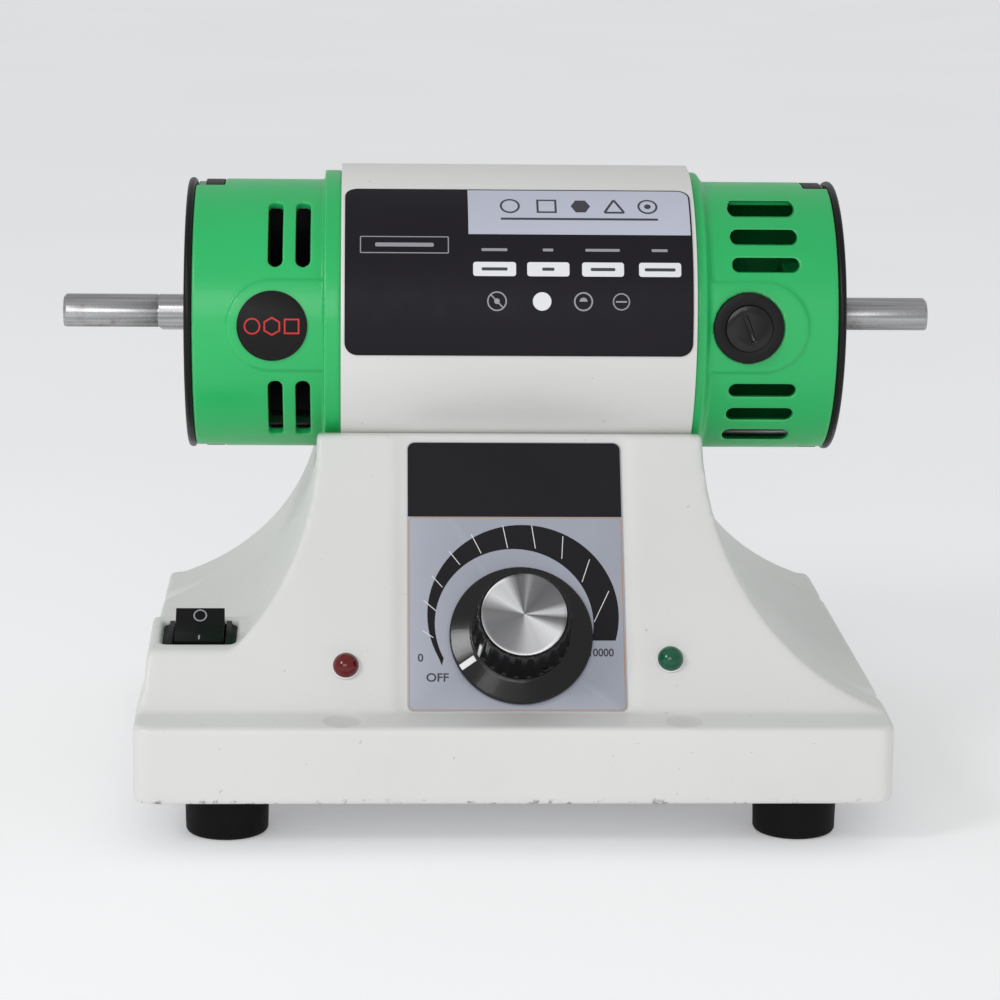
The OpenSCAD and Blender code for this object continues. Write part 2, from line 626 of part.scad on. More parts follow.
module switch_housing() {
  color([0.09, 0.09, 0.095]) on_shelf() difference() {
    union() {
      translate([-11.9, -9.3, -3.6]) cube([23.8, 18.6, 1.6]);
      translate([-10.4, -8.9, -22]) cube([20.8, 17.8, 20.4]);
      // side cheeks of the frame
      for (s = [-1, 1]) translate([s * 9.2 - 0.8, -8.9, -2.2]) cube([1.6, 17.8, 1.7]);
    }
    translate([-8.3, -8.3, -12]) cube([16.6, 16.6, 14]);
    // pivot sockets of the key
    translate([0, 0, -3.4]) rotate([0, 90, 0]) cylinder(d = 2.1, h = 19, center = true, $fn = 32);
  }
}
module rocker_key() {
  // key with the front pressed in; it rocks about its pins
  color([0.06, 0.06, 0.065]) on_shelf() translate([0, 0, -3.4]) rotate([12, 0, 0]) {
    translate([-7.85, 0, 0]) rotate([90, 0, 90]) linear_extrude(15.7)
      polygon([[-7.2, -1.5], [-7.55, 5.2], [-3, 4.8], [0, 4.7], [3, 5.3], [7.55, 7.4], [7.2, -1.5], [3, -4.2], [-3, -4.2]]);
    rotate([0, 90, 0]) cylinder(d = 2, h = 18.4, center = true, $fn = 32);
  }
}

// ---- inside the stand ----
module board_posts() {
  color([0.9, 0.9, 0.88]) for (x = [-28, 28], y = [38, 78]) translate([x, y, foot_h + 1.55]) difference() {
    cylinder(d = 6, h = 8);
    translate([0, 0, 2]) cylinder(d = 2.6, h = 8, $fn = 32);
  }
}
module speed_board() {
  color([0.1, 0.35, 0.2]) union() {
    difference() {
      translate([-33, 33, foot_h + 9.6]) cube([66, 50, 1.6]);
      for (x = [-28, 28], y = [38, 78]) translate([x, y, foot_h + 5]) cylinder(d = 3, h = 10, $fn = 32);
    }
    // power switching device, terminal block and small parts
    translate([-6, 52, foot_h + 11.1]) cube([10, 4.5, 15]);
    translate([10, 38, foot_h + 11.1]) cube([20, 8, 9]);
    translate([-28, 60, foot_h + 11.1]) cylinder(d = 8, h = 10);
  }
}
module heat_sink() {
  color([0.78, 0.79, 0.8]) difference() {
    translate([-18, 57, foot_h + 11.4]) cube([34, 12, 24]);
    for (i = [0:5]) translate([-15.4 + i * 5.2, 60, foot_h + 10]) cube([3.2, 12, 30]);
  }
}
module filter_capacitor() { color([0.85, 0.65, 0.2]) translate([21, 54, foot_h + 11.3]) cube([8, 20, 15]); }
module cord_gland() {
  color([0.05, 0.05, 0.05]) translate([70, half_d, 27.5]) rotate([-90, 0, 0]) difference() {
    union() {
      translate([0, 0, 0.05]) cylinder(d = 17, h = 2.4);
      translate([0, 0, 2.4]) cylinder(d1 = 15, d2 = 12, h = 4);
      translate([0, 0, -wall - 0.1]) cylinder(d = 12.8, h = wall + 0.2);
      translate([0, 0, -wall - 2.2]) cylinder(d = 15, h = 2.1);
    }
    translate([0, 0, -10]) cylinder(d = 7.4, h = 30);
  }
}
module motor_lead() { color([0.1, 0.1, 0.1]) translate([2, 0, 88]) difference() { cylinder(d = 10, h = 20.2); translate([0, 0, -1]) cylinder(d = 7, h = 30); } }

placed() base_casting();
placed() bottom_plate();
placed() rubber_feet();
placed() foot_screws();
placed() motor_sleeve();
placed() saddle_bolts();
placed() left_shell();
placed() right_shell();
placed() left_end_plate();
placed() right_end_plate();
placed() plate_screw();
placed() rim_blocks();
placed() shell_bolts();
placed() spindle();
placed() armature_core();
placed() armature_windings();
placed() commutator();
placed() cooling_fan();
placed() stator_core();
placed() field_coils();
placed() left_bearing_outer();
placed() left_bearing_inner();
placed() left_bearing_balls();
placed() right_bearing_outer();
placed() right_bearing_inner();
placed() right_bearing_balls();
placed() brush_holders();
placed() brush_caps();
placed() carbon_brushes();
placed() brush_springs();
placed() left_badge();
placed() rating_label();
placed() control_label();
placed() knob_body();
placed() knob_cap();
placed() knob_pointer();
placed() knob_set_screw();
placed() potentiometer();
placed() potentiometer_shaft();
placed() potentiometer_nut();
placed() red_lamp_lens();
placed() green_lamp_lens();
placed() lamp_holders();
placed() lamp_nuts();
placed() switch_housing();
placed() rocker_key();
placed() speed_board();
placed() heat_sink();
placed() filter_capacitor();
placed() board_posts();
placed() cord_gland();
placed() motor_lead();
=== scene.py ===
import json
import math

import bmesh
import bpy
from mathutils import Matrix, Vector


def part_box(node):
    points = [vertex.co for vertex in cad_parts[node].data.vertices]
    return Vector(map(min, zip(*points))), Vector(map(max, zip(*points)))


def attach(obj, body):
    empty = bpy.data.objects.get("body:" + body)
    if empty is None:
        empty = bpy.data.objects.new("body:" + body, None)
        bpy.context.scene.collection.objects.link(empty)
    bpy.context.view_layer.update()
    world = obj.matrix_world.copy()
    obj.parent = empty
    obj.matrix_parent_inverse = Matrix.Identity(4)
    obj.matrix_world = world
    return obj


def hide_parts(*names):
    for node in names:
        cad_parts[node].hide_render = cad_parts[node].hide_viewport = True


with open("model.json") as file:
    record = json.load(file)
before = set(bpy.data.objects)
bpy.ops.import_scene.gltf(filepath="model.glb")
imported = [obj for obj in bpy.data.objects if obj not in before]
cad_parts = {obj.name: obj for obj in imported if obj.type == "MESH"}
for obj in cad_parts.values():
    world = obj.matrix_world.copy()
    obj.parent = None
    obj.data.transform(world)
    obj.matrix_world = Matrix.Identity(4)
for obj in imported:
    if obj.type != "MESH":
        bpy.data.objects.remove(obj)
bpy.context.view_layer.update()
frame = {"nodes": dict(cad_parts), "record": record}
nodes = frame["nodes"]
MM = 0.001

# The stand is symmetrical, so its box gives the middle that the parts are laid out from.
b0, b1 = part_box("base_casting")
SX, SY = (b0.x + b1.x) / 2, (b0.y + b1.y) / 2
AXIS_Z = 155.0
PANEL_Y, PANEL_Z = -93.1, 41.0
PANEL_A = math.atan2(80.0, 50.8)
KNOB = (2.6, 25.7)
OFF = 210.0


def P(x, y, z):
    """A point in millimetres from the stand's middle, in the row frame."""
    return Vector((x * MM + SX, y * MM + SY, z * MM))


def on_panel(x, t, n):
    """x along the spindle, t up the sloping panel, n out of it."""
    c, s = math.cos(PANEL_A), math.sin(PANEL_A)
    return P(x, PANEL_Y + t * c - n * s, PANEL_Z + t * s + n * c)


def on_drum(radius, a0=0.0):
    """Maps (x, arc length up from the front, height) to a drum round the spindle axis."""

    def f(x, s, h):
        a = math.radians(a0) + s / radius
        r = radius + h
        return P(x, -r * math.cos(a), AXIS_Z + r * math.sin(a))

    return f


# ---------------------------------------------------------------- camera
cam = bpy.data.objects.new("camera", bpy.data.cameras.new("camera"))
bpy.context.scene.collection.objects.link(cam)
right = Vector((0.999101, -0.040784, 0.011534)).normalized()
fwd = Vector((0.042241, 0.980478, -0.192037)).normalized()
right = (right - fwd * right.dot(fwd)).normalized()
up = right.cross(fwd)
rot = Matrix((right, up, -fwd)).transposed()
cam.matrix_world = Matrix.Translation(P(-48.766, -1101.881, 322.276)) @ rot.to_4x4()
cam.data.sensor_width = 36.0
cam.data.lens = 118.554
cam.data.shift_x = -0.0004
cam.data.shift_y = -0.0458
cam.data.clip_start, cam.data.clip_end = 0.05, 60
bpy.context.scene.camera = cam


# ---------------------------------------------------------------- materials
def lin(r, g, b):
    return tuple(
        (c / 255 / 12.92) if c / 255 <= 0.04045 else ((c / 255 + 0.055) / 1.055) ** 2.4
        for c in (r, g, b)
    )


class Mat:
    """A small builder for node materials on object coordinates."""

    def __init__(self, name):
        self.m = bpy.data.materials.new(name)
        self.m.use_nodes = True
        self.nt = self.m.node_tree
        self.b = self.nt.nodes["Principled BSDF"]
        self.co = self.nt.nodes.new("ShaderNodeTexCoord").outputs["Object"]

    def node(self, kind, **props):
        n = self.nt.nodes.new(kind)
        for k, v in props.items():
            setattr(n, k, v)
        return n

    def link(self, a, b):
        self.nt.links.new(a, b)

    def scaled(self, vec, scale=(1, 1, 1), rot=(0, 0, 0), loc=(0, 0, 0)):
        n = self.node("ShaderNodeMapping")
        self.link(vec, n.inputs["Vector"])
        n.inputs["Scale"].default_value = scale
        n.inputs["Rotation"].default_value = rot
        n.inputs["Location"].default_value = loc
        return n.outputs[0]

    def noise(self, scale, detail=2.0, rough=0.5, vec=None, dist=0.0):
        n = self.node("ShaderNodeTexNoise")
        self.link(vec or self.co, n.inputs["Vector"])
        n.inputs["Scale"].default_value = scale
        n.inputs["Detail"].default_value = detail
        n.inputs["Roughness"].default_value = rough
        n.inputs["Distortion"].default_value = dist
        return n.outputs["Fac"]

    def ramp(self, fac, *stops):
        n = self.node("ShaderNodeValToRGB")
        self.link(fac, n.inputs[0])
        e = n.color_ramp.elements
        while len(e) < len(stops):
            e.new(0.5)
        for el, (pos, col) in zip(e, stops):
            el.position = pos
            el.color = (
                (col, col, col, 1) if isinstance(col, (int, float)) else (*col, 1)
            )
        return n.outputs[0]

    def mix(self, fac, a, b, mode="MIX"):
        n = self.node("ShaderNodeMix", data_type="RGBA", blend_type=mode)
        for sock, val in ((n.inputs[0], fac), (n.inputs[6], a), (n.inputs[7], b)):
            if hasattr(val, "is_linked"):
                self.link(val, sock)
            elif isinstance(val, (int, float)):
                sock.default_value = val
            else:
                sock.default_value = (*val, 1)
        return n.outputs[2]

    def math(self, op, a, b=0.0, clamp=False):
        n = self.node("ShaderNodeMath", operation=op, use_clamp=clamp)
        for sock, val in ((n.inputs[0], a), (n.inputs[1], b)):
            if hasattr(val, "is_linked"):
                self.link(val, sock)
            else:
                sock.default_value = val
        return n.outputs[0]

    def rescale(self, fac, lo, hi, a=0.0, b=1.0):
        n = self.node("ShaderNodeMapRange")
        self.link(fac, n.inputs["Value"])
        for k, v in (("From Min", lo), ("From Max", hi), ("To Min", a), ("To Max", b)):
            n.inputs[k].default_value = v
        return n.outputs[0]

    def bump(self, height, distance, strength=1.0, under=None):
        n = self.node("ShaderNodeBump")
        self.link(height, n.inputs["Height"])
        n.inputs["Distance"].default_value = distance
        n.inputs["Strength"].default_value = strength
        if under is not None:
            self.link(under, n.inputs["Normal"])
        return n.outputs[0]

    def set(self, **kw):
        for k, v in kw.items():
            sock = self.b.inputs[k.replace("_", " ")]
            if hasattr(v, "is_linked"):
                self.link(v, sock)
            else:
                sock.default_value = (*v, 1) if isinstance(v, tuple) and len(v) == 3 else v
        return self


def finish(name, color, rough, metallic=0.0, var=0.06, var_scale=25.0, grain=900.0,
           depth=0.00002, rough_var=0.06, coat=0.0, aniso=0.0, stretch=(1, 1, 1), detail=3.0, spec=0.5):
    """A plain surface: mottled colour, uneven roughness and a fine grain."""
    m = Mat(name)
    vec = m.scaled(m.co, stretch)
    big = m.noise(var_scale, 4, 0.55)
    fine = m.noise(grain, detail, 0.55, vec)
    dark = tuple(c * (1 - var) for c in color)
    light = tuple(min(1, c * (1 + var)) for c in color)
    m.set(Base_Color=m.mix(m.rescale(big, 0.3, 0.7), dark, light), Metallic=metallic)
    m.set(Roughness=m.rescale(m.noise(var_scale * 6, 3, 0.6), 0.3, 0.7, rough - rough_var, rough + rough_var))
    m.set(Normal=m.bump(fine, depth))
    m.b.inputs["Specular IOR Level"].default_value = spec
    if coat:
        m.b.inputs["Coat Weight"].default_value = coat
        m.b.inputs["Coat Roughness"].default_value = 0.06
    if aniso:
        m.b.inputs["Anisotropic"].default_value = aniso
    return m.m


def cast_paint(name, base, chips=True):
    """Sprayed paint on a casting: faint orange peel, soft stains, chips along the lower rim."""
    m = Mat(name)
    big = m.noise(9, 4, 0.6)
    mid = m.noise(60, 5, 0.6)
    peel = m.noise(420, 2, 0.5)
    wave = m.noise(38, 2, 0.5)
    tone = m.mix(m.rescale(big, 0.3, 0.7), tuple(c * 0.965 for c in base), tuple(min(1, c * 1.02) for c in base))
    stain = m.ramp(mid, (0.60, 0.0), (0.78, 0.35))
    tone = m.mix(m.math("MULTIPLY", stain, 0.35), tone, (base[0] * 0.86, base[1] * 0.84, base[2] * 0.76))
    speck = m.ramp(m.noise(520, 1, 0.5), (0.775, 0.0), (0.80, 1.0))
    tone = m.mix(m.math("MULTIPLY", speck, 0.35), tone, (0.30, 0.28, 0.25))
    height = m.math("ADD", m.math("MULTIPLY", peel, 0.16), m.math("MULTIPLY", wave, 0.30))
    rough = m.rescale(m.noise(130, 3, 0.6), 0.3, 0.7, 0.36, 0.48)
    if chips:
        sep = m.node("ShaderNodeSeparateXYZ")
        m.link(m.co, sep.inputs[0])
        low = m.rescale(sep.outputs["Z"], 0.0172, 0.0153, 0.0, 1.0)
        chip = m.math("MULTIPLY", low, m.ramp(m.noise(260, 4, 0.65), (0.57, 0.0), (0.63, 1.0)))
        tone = m.mix(chip, tone, (0.12, 0.115, 0.11))
        # two round casting marks on the ledge: a sunken ring in the bump, and a darker disc that is painted shade of a
        # shallow dent
        for x in (-54.2, 53.7):
            d = m.node("ShaderNodeVectorMath", operation="DISTANCE")
            m.link(m.co, d.inputs[0])
            d.inputs[1].default_value = P(x, -100.1, 40.5)
            disc = m.rescale(d.outputs["Value"], 0.0062, 0.0054, 0.0, 1.0)
            edge = m.rescale(d.outputs["Value"], 0.0064, 0.0050, 0.0, 1.0)
            # painted shade: the disc is darkened to stand for the shade inside the dent
            tone = m.mix(m.math("MULTIPLY", disc, 0.28), tone, (base[0] * 0.66, base[1] * 0.66, base[2] * 0.64))
            height = m.math("SUBTRACT", height, m.math("MULTIPLY", edge, 2.2))
    m.set(Base_Color=tone, Roughness=rough, Normal=m.bump(height, 0.00009))
    m.b.inputs["Coat Weight"].default_value = 0.18
    m.b.inputs["Coat Roughness"].default_value = 0.22
    return m.m


def moulded_green(name, base, edge_highlight):
    """Glossy moulding whose convex edges are mixed towards a paler green as a painted highlight."""
    m = Mat(name)
    big = m.noise(18, 4, 0.55)
    tone = m.mix(m.rescale(big, 0.3, 0.7), tuple(c * 0.95 for c in base), tuple(c * 1.05 for c in base))
    # painted highlight: convex edges, found by pointiness, mixed towards the paler highlight green
    geo = m.node("ShaderNodeNewGeometry")
    edge = m.rescale(geo.outputs["Pointiness"], 0.515, 0.60, 0.0, 0.55)
    m.set(Base_Color=m.mix(edge, tone, edge_highlight))
    m.set(Roughness=m.rescale(m.noise(110, 3, 0.6), 0.3, 0.7, 0.31, 0.42))
    m.set(Normal=m.bump(m.noise(1400, 3, 0.55), 0.000018))
    m.b.inputs["Coat Weight"].default_value = 0.12
    m.b.inputs["Coat Roughness"].default_value = 0.08
    return m.m


def turned_steel(name):
    """Ground shaft: fine rings round the axis, faint lengthwise streaks, a little rust staining."""
    m = Mat(name)
    rings = m.noise(1.0, 4, 0.7, m.scaled(m.co, (9000, 90, 90)))
    streak = m.noise(1.0, 3, 0.6, m.scaled(m.co, (18, 900, 900)))
    stain = m.ramp(m.noise(95, 4, 0.6), (0.60, 0.0), (0.70, 1.0))
    tone = m.mix(m.rescale(streak, 0.3, 0.7), (0.27, 0.27, 0.28), (0.52, 0.52, 0.53))
    tone = m.mix(m.math("MULTIPLY", stain, 0.4), tone, (0.16, 0.10, 0.06))
    m.set(Base_Color=tone, Metallic=1.0)
    m.set(Roughness=m.rescale(rings, 0.3, 0.7, 0.20, 0.36))
    m.set(Normal=m.bump(rings, 0.00001))
    m.b.inputs["Anisotropic"].default_value = 0.5
    return m.m


M = {
    "cast": cast_paint("cast_paint", lin(222, 222, 219)),
    "sleeve": cast_paint("sleeve_paint", lin(223, 223, 220), chips=False),
    "green": moulded_green("green_moulding", (0.012, 0.47, 0.120), (0.22, 0.62, 0.30)),
    "black_plastic": finish("black_moulding", (0.007, 0.007, 0.0075), 0.44, var=0.2, grain=1800, depth=0.00004, spec=0.2),
    "black_gloss": finish("black_gloss_moulding", (0.004, 0.004, 0.0045), 0.19, var=0.2, grain=700, depth=0.000006, rough_var=0.04, coat=0.2, spec=0.3),
    "black_metal": finish("black_coating", (0.005, 0.0045, 0.005), 0.34, var=0.25, grain=1200, depth=0.00002, spec=0.22),
    "key_plastic": finish("key_moulding", (0.007, 0.007, 0.0075), 0.34, var=0.15, grain=1500, depth=0.00001, spec=0.13),
    "badge": finish("badge_foil", (0.006, 0.0055, 0.006), 0.42, var=0.15, grain=1500, depth=0.00001, spec=0.2),
    "rubber": finish("foot_rubber", (0.0045, 0.0045, 0.005), 0.62, var=0.3, grain=1500, depth=0.00006, spec=0.12),
    "steel": turned_steel("ground_steel"),
    "zinc": finish("zinc_plate", (0.62, 0.62, 0.64), 0.27, 1.0, var=0.12, var_scale=120, grain=1600, depth=0.00001),
    "bolt": finish("bolt_steel", (0.36, 0.36, 0.375), 0.40, 1.0, var=0.10, var_scale=60, grain=500, depth=0.000003),
    "silver": finish("silver_foil", lin(166, 170, 182), 0.42, 0.15, var=0.035, var_scale=14, grain=2200, depth=0.000006),
    "silver_light": finish("light_silver_foil", lin(192, 196, 211), 0.40, 0.1, var=0.04, var_scale=14, grain=2200, depth=0.000006),
    "label_black": finish("black_foil", (0.013, 0.0115, 0.0155), 0.42, var=0.10, var_scale=22, grain=2400, depth=0.000008, spec=0.12),
    "ink_black": finish("black_ink", (0.014, 0.013, 0.0155), 0.42, var=0.10, var_scale=22, grain=2400, depth=0.000006, spec=0.14),
    "ink_white": finish("white_ink", lin(228, 229, 232), 0.5, var=0.03, grain=2400, depth=0.000006),
    "ink_grey": finish("grey_ink", lin(150, 150, 156), 0.5, var=0.05, grain=2400, depth=0.000006),
    "ink_dark": finish("dark_ink", lin(58, 56, 66), 0.5, var=0.08, grain=2400, depth=0.000006),
    "ink_tan": finish("tan_ink", lin(186, 140, 92), 0.5, var=0.08, grain=2400, depth=0.000006),
    "ink_red": finish("red_ink", lin(205, 30, 26), 0.45, var=0.06, grain=2400, depth=0.000006),
    "white": finish("white_print", lin(236, 236, 236), 0.45, var=0.04, grain=1800, depth=0.00001),
    "alu": finish("bright_aluminium", (0.78, 0.78, 0.80), 0.32, 1.0, var=0.08, var_scale=90, grain=1500, depth=0.00001),
    "lamination": finish("stacked_steel", (0.30, 0.31, 0.33), 0.42, 1.0, var=0.15, var_scale=60, grain=1.0, depth=0.00006, stretch=(2000, 12, 12)),
    "copper": finish("copper_wire", (0.56, 0.22, 0.09), 0.36, 1.0, var=0.2, var_scale=120, grain=1.0, depth=0.0002, stretch=(60, 900, 900)),
    "carbon": finish("brush_carbon", (0.03, 0.03, 0.032), 0.55, var=0.3, grain=2500, depth=0.00002),
    "brass": finish("brass_wire", (0.72, 0.50, 0.20), 0.30, 1.0, var=0.1, var_scale=150, grain=1600, depth=0.00001),
    "pcb": finish("circuit_board", (0.015, 0.11, 0.045), 0.35, var=0.3, var_scale=160, grain=800, depth=0.00003),
    "cap_case": finish("capacitor_case", (0.55, 0.30, 0.04), 0.35, var=0.1, grain=900, depth=0.00002),
    "nylon": finish("nylon", (0.75, 0.74, 0.68), 0.45, var=0.06, grain=900, depth=0.00002),
}


def lens(name, color, deep):
    """Tinted dome: colour deeper in soft random patches, glossy skin, a faint fine grain."""
    m = Mat(name)
    n = m.noise(900, 2, 0.5)
    m.set(Base_Color=m.mix(m.rescale(m.noise(260, 2), 0.35, 0.65), deep, color))
    m.set(Roughness=m.rescale(n, 0.3, 0.7, 0.06, 0.14), Normal=m.bump(n, 0.000008))
    m.b.inputs["Specular IOR Level"].default_value = 0.28
    m.b.inputs["Coat Weight"].default_value = 0.4
    m.b.inputs["Coat Roughness"].default_value = 0.03
    m.b.inputs["Transmission Weight"].default_value = 0.05
    return m.m


M["red_lens"] = lens("red_lens", (0.135, 0.0008, 0.0015), (0.105, 0.0006, 0.001))
M["green_lens"] = lens("green_lens", (0.004, 0.105, 0.050), (0.002, 0.075, 0.036))


def spun_aluminium(name):
    """Machined disc: concentric tool marks about local Z, with light and dark radial wedges of painted reflection
    multiplied into the base colour by angle about local Z.
    """
    m = Mat(name)
    sep = m.node("ShaderNodeSeparateXYZ")
    m.link(m.co, sep.inputs[0])
    r = m.math("SQRT", m.math("ADD", m.math("MULTIPLY", sep.outputs["X"], sep.outputs["X"]), m.math("MULTIPLY", sep.outputs["Y"], sep.outputs["Y"])))
    comb = m.node("ShaderNodeCombineXYZ")
    m.link(r, comb.inputs["X"])
    rings = m.noise(1.0, 4, 0.75, m.scaled(comb.outputs[0], (5200, 1, 1)))
    # painted reflection: light and dark wedges by angle about local Z, multiplied into the base colour
    turn = m.math("ARCTAN2", sep.outputs["Y"], sep.outputs["X"])
    painted_reflection_wedges = m.ramp(m.rescale(turn, -math.pi, math.pi), *[((a + 180) / 360, v) for a, v in (
        (-180, 0.28), (-150, 0.34), (-110, 0.46), (-82, 0.70), (-58, 1.0), (-30, 1.0), (-15, 0.30), (-6, 0.18), (2, 0.95), (9, 0.95), (18, 0.34),
        (50, 0.26), (74, 0.34), (82, 0.56), (90, 0.26), (100, 0.18), (108, 0.40), (120, 1.0), (147, 1.0), (160, 0.50), (172, 0.24), (180, 0.28))])
    tone = m.mix(m.rescale(rings, 0.3, 0.7), (0.72, 0.72, 0.73), (0.92, 0.92, 0.93))
    m.set(Base_Color=m.mix(1.0, tone, painted_reflection_wedges, "MULTIPLY"), Metallic=1.0)
    m.set(Roughness=m.rescale(rings, 0.3, 0.7, 0.26, 0.38))
    m.set(Normal=m.bump(rings, 0.000006))
    m.b.inputs["Anisotropic"].default_value = 0.85
    tan = m.node("ShaderNodeTangent", direction_type="RADIAL", axis="Z")
    m.link(tan.outputs[0], m.b.inputs["Tangent"])
    return m.m


M["spun"] = spun_aluminium("spun_aluminium")

BODY = {n: b for b, ns in frame["record"]["behaviour"]["bodies"].items() for n in ns}


# ---------------------------------------------------------------- mesh helpers
def put(name, mesh, mat, body, smooth=None, matrix=None):
    ob = bpy.data.objects.new(name, mesh)
    bpy.context.scene.collection.objects.link(ob)
    if matrix is not None:
        ob.matrix_world = matrix
    mesh.materials.clear()
    mesh.materials.append(mat)
    if smooth is not None:
        shade(mesh, smooth)
    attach(ob, body)
    return ob


def shade(mesh, angle):
    """Smooth shading, with edges sharper than angle kept sharp."""
    bm = bmesh.new()
    bm.from_mesh(mesh)
    for f in bm.faces:
        f.smooth = True
    lim = math.radians(angle)
    for e in bm.edges:
        e.smooth = len(e.link_faces) == 2 and e.calc_face_angle(0) < lim
    bm.to_mesh(mesh)
    bm.free()


def welded(node):
    """A clean copy of a CAD node's mesh, with doubled vertices merged and degenerate pieces dissolved."""
    bm = bmesh.new()
    bm.from_mesh(nodes[node].data)
    bmesh.ops.remove_doubles(bm, verts=bm.verts, dist=3e-6)
    bmesh.ops.dissolve_degenerate(bm, dist=1e-6, edges=bm.edges)
    return bm


def clean_mesh(name, bm):
    me = bpy.data.meshes.new(name)
    bm.to_mesh(me)
    bm.free()
    return me


def crisp(node, name, mat, width=0.3, seg=2, angle=28):
    """Stands for a CAD node, with its sharp edges broken by a small round."""
    bm = welded(node)
    bmesh.ops.dissolve_limit(bm, angle_limit=math.radians(0.6), verts=bm.verts, edges=bm.edges)
    lim = math.radians(angle)
    edges = [e for e in bm.edges if len(e.link_faces) == 2 and e.calc_face_angle(0) > lim]
    if width > 0 and edges:
        bmesh.ops.bevel(bm, geom=edges, offset=width * MM, offset_type="OFFSET", segments=seg, profile=0.5, affect="EDGES", clamp_overlap=True)
    bmesh.ops.triangulate(bm, faces=[f for f in bm.faces if len(f.verts) > 4])
    me = clean_mesh(name, bm)
    ob = put(name, me, mat, BODY[node], smooth=32)
    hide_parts(node)
    return ob


def moulded(node, name, mat, voxel, rounds, factor=0.5):
    """Stands for a CAD node, remeshed finely and relaxed so that every edge has the soft round of a casting or moulding."""
    me = clean_mesh(name, welded(node))
    ob = bpy.data.objects.new(name, me)
    bpy.context.scene.collection.objects.link(ob)
    r = ob.modifiers.new("remesh", "REMESH")
    r.mode, r.voxel_size, r.use_smooth_shade = "VOXEL", voxel * MM, True
    s = ob.modifiers.new("relax", "SMOOTH")
    s.factor, s.iterations = factor, rounds
    bpy.context.view_layer.update()
    done = bpy.data.meshes.new_from_object(ob.evaluated_get(bpy.context.evaluated_depsgraph_get()))
    ob.modifiers.clear()
    ob.data = done
    done.materials.clear()
    done.materials.append(mat)
    done.shade_smooth()
    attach(ob, BODY[node])
    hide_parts(node)
    return ob


def keep(node, mat):
    """The CAD node itself shows, with a procedural material."""
    me = nodes[node].data
    me.materials.clear()
    me.materials.append(mat)


def lathe(name, profile, mat, body, matrix, steps=96, smooth=40):
    """Turns (radius, height) points about local Z, in millimetres."""
    bm = bmesh.new()
    rings = []
    for r, z in profile:
        if r < 1e-6:
            rings.append([bm.verts.new((0, 0, z * MM))])
        else:
            rings.append([bm.verts.new((r * MM * math.cos(2 * math.pi * i / steps), r * MM * math.sin(2 * math.pi * i / steps), z * MM)) for i in range(steps)])
    for a, b in zip(rings, rings[1:]):
        for i in range(steps):
            j = (i + 1) % steps
            vs = [a[i % len(a)], a[j % len(a)], b[j % len(b)], b[i % len(b)]]
            vs = list(dict.fromkeys(vs))
            if len(vs) > 2:
                bm.faces.new(vs)
    for ring in (rings[0], rings[-1]):
        if len(ring) > 1:
            bm.faces.new(ring)
    bmesh.ops.recalc_face_normals(bm, faces=bm.faces)
    return put(name, clean_mesh(name, bm), mat, body, smooth, matrix)


def printed(name, polys, place, mat, body, thick=0.03, base=0.0, cut=0.0):
    """A thin printed shape: flat polygons in millimetres, given thickness and laid on a surface by place(x, y, height)."""
    bm = bmesh.new()
    seen = {}
    for poly in polys:
        vs = []
        for x, y in poly:
            k = (round(x, 4), round(y, 4))
            if k not in seen:
                seen[k] = bm.verts.new((k[0], k[1], 0))
            if not vs or vs[-1] is not seen[k]:
                vs.append(seen[k])
        if len(vs) > 2 and vs[0] is vs[-1]:
            vs.pop()
        if len(set(vs)) > 2:
            try:
                bm.faces.new(vs)
            except ValueError:
                pass
    bm.normal_update()
    for f in bm.faces:
        if f.normal.z < 0:
            f.normal_flip()
    if cut:
        ys = [v.co.y for v in bm.verts]
        y = math.ceil(min(ys) / cut) * cut
        while y < max(ys):
            bmesh.ops.bisect_plane(bm, geom=bm.verts[:] + bm.edges[:] + bm.faces[:], plane_co=(0, y, 0), plane_no=(0, 1, 0))
            y += cut
    for v in bm.verts:
        v.co.z = base
    top = bmesh.ops.extrude_face_region(bm, geom=bm.faces[:])
    for v in [g for g in top["geom"] if isinstance(g, bmesh.types.BMVert)]:
        v.co.z = base + thick
    for v in bm.verts:
        v.co = place(*v.co)
    bmesh.ops.recalc_face_normals(bm, faces=bm.faces)
    bmesh.ops.triangulate(bm, faces=[f for f in bm.faces if len(f.verts) > 4])
    return put(name, clean_mesh(name, bm), mat, body, smooth=30)


def rrect(x0, x1, y0, y1, r=0.0, n=6, corners=(1, 1, 1, 1)):
    """Rectangle with round corners: bottom left, bottom right, top right, top left."""
    pts = []
    for (cx, cy, a0), on in zip(((x0 + r, y0 + r, 180), (x1 - r, y0 + r, 270), (x1 - r, y1 - r, 0), (x0 + r, y1 - r, 90)), corners):
        if r > 0 and on:
            pts += [(cx + r * math.cos(math.radians(a0 + 90 * i / n)), cy + r * math.sin(math.radians(a0 + 90 * i / n))) for i in range(n + 1)]
        else:
            sx, sy = (-1 if a0 in (180, 90) else 1), (-1 if a0 in (180, 270) else 1)
            pts.append((cx + sx * r, cy + sy * r))
    return [pts]


def frame_rect(x0, x1, y0, y1, w, r=0.0):
    a, b = rrect(x0, x1, y0, y1, r)[0], rrect(x0 + w, x1 - w, y0 + w, y1 - w, max(r - w, 0.01) if r else 0.0)[0]
    if len(a) != len(b):
        return []
    return [[a[i], a[(i + 1) % len(a)], b[(i + 1) % len(b)], b[i]] for i in range(len(a))]


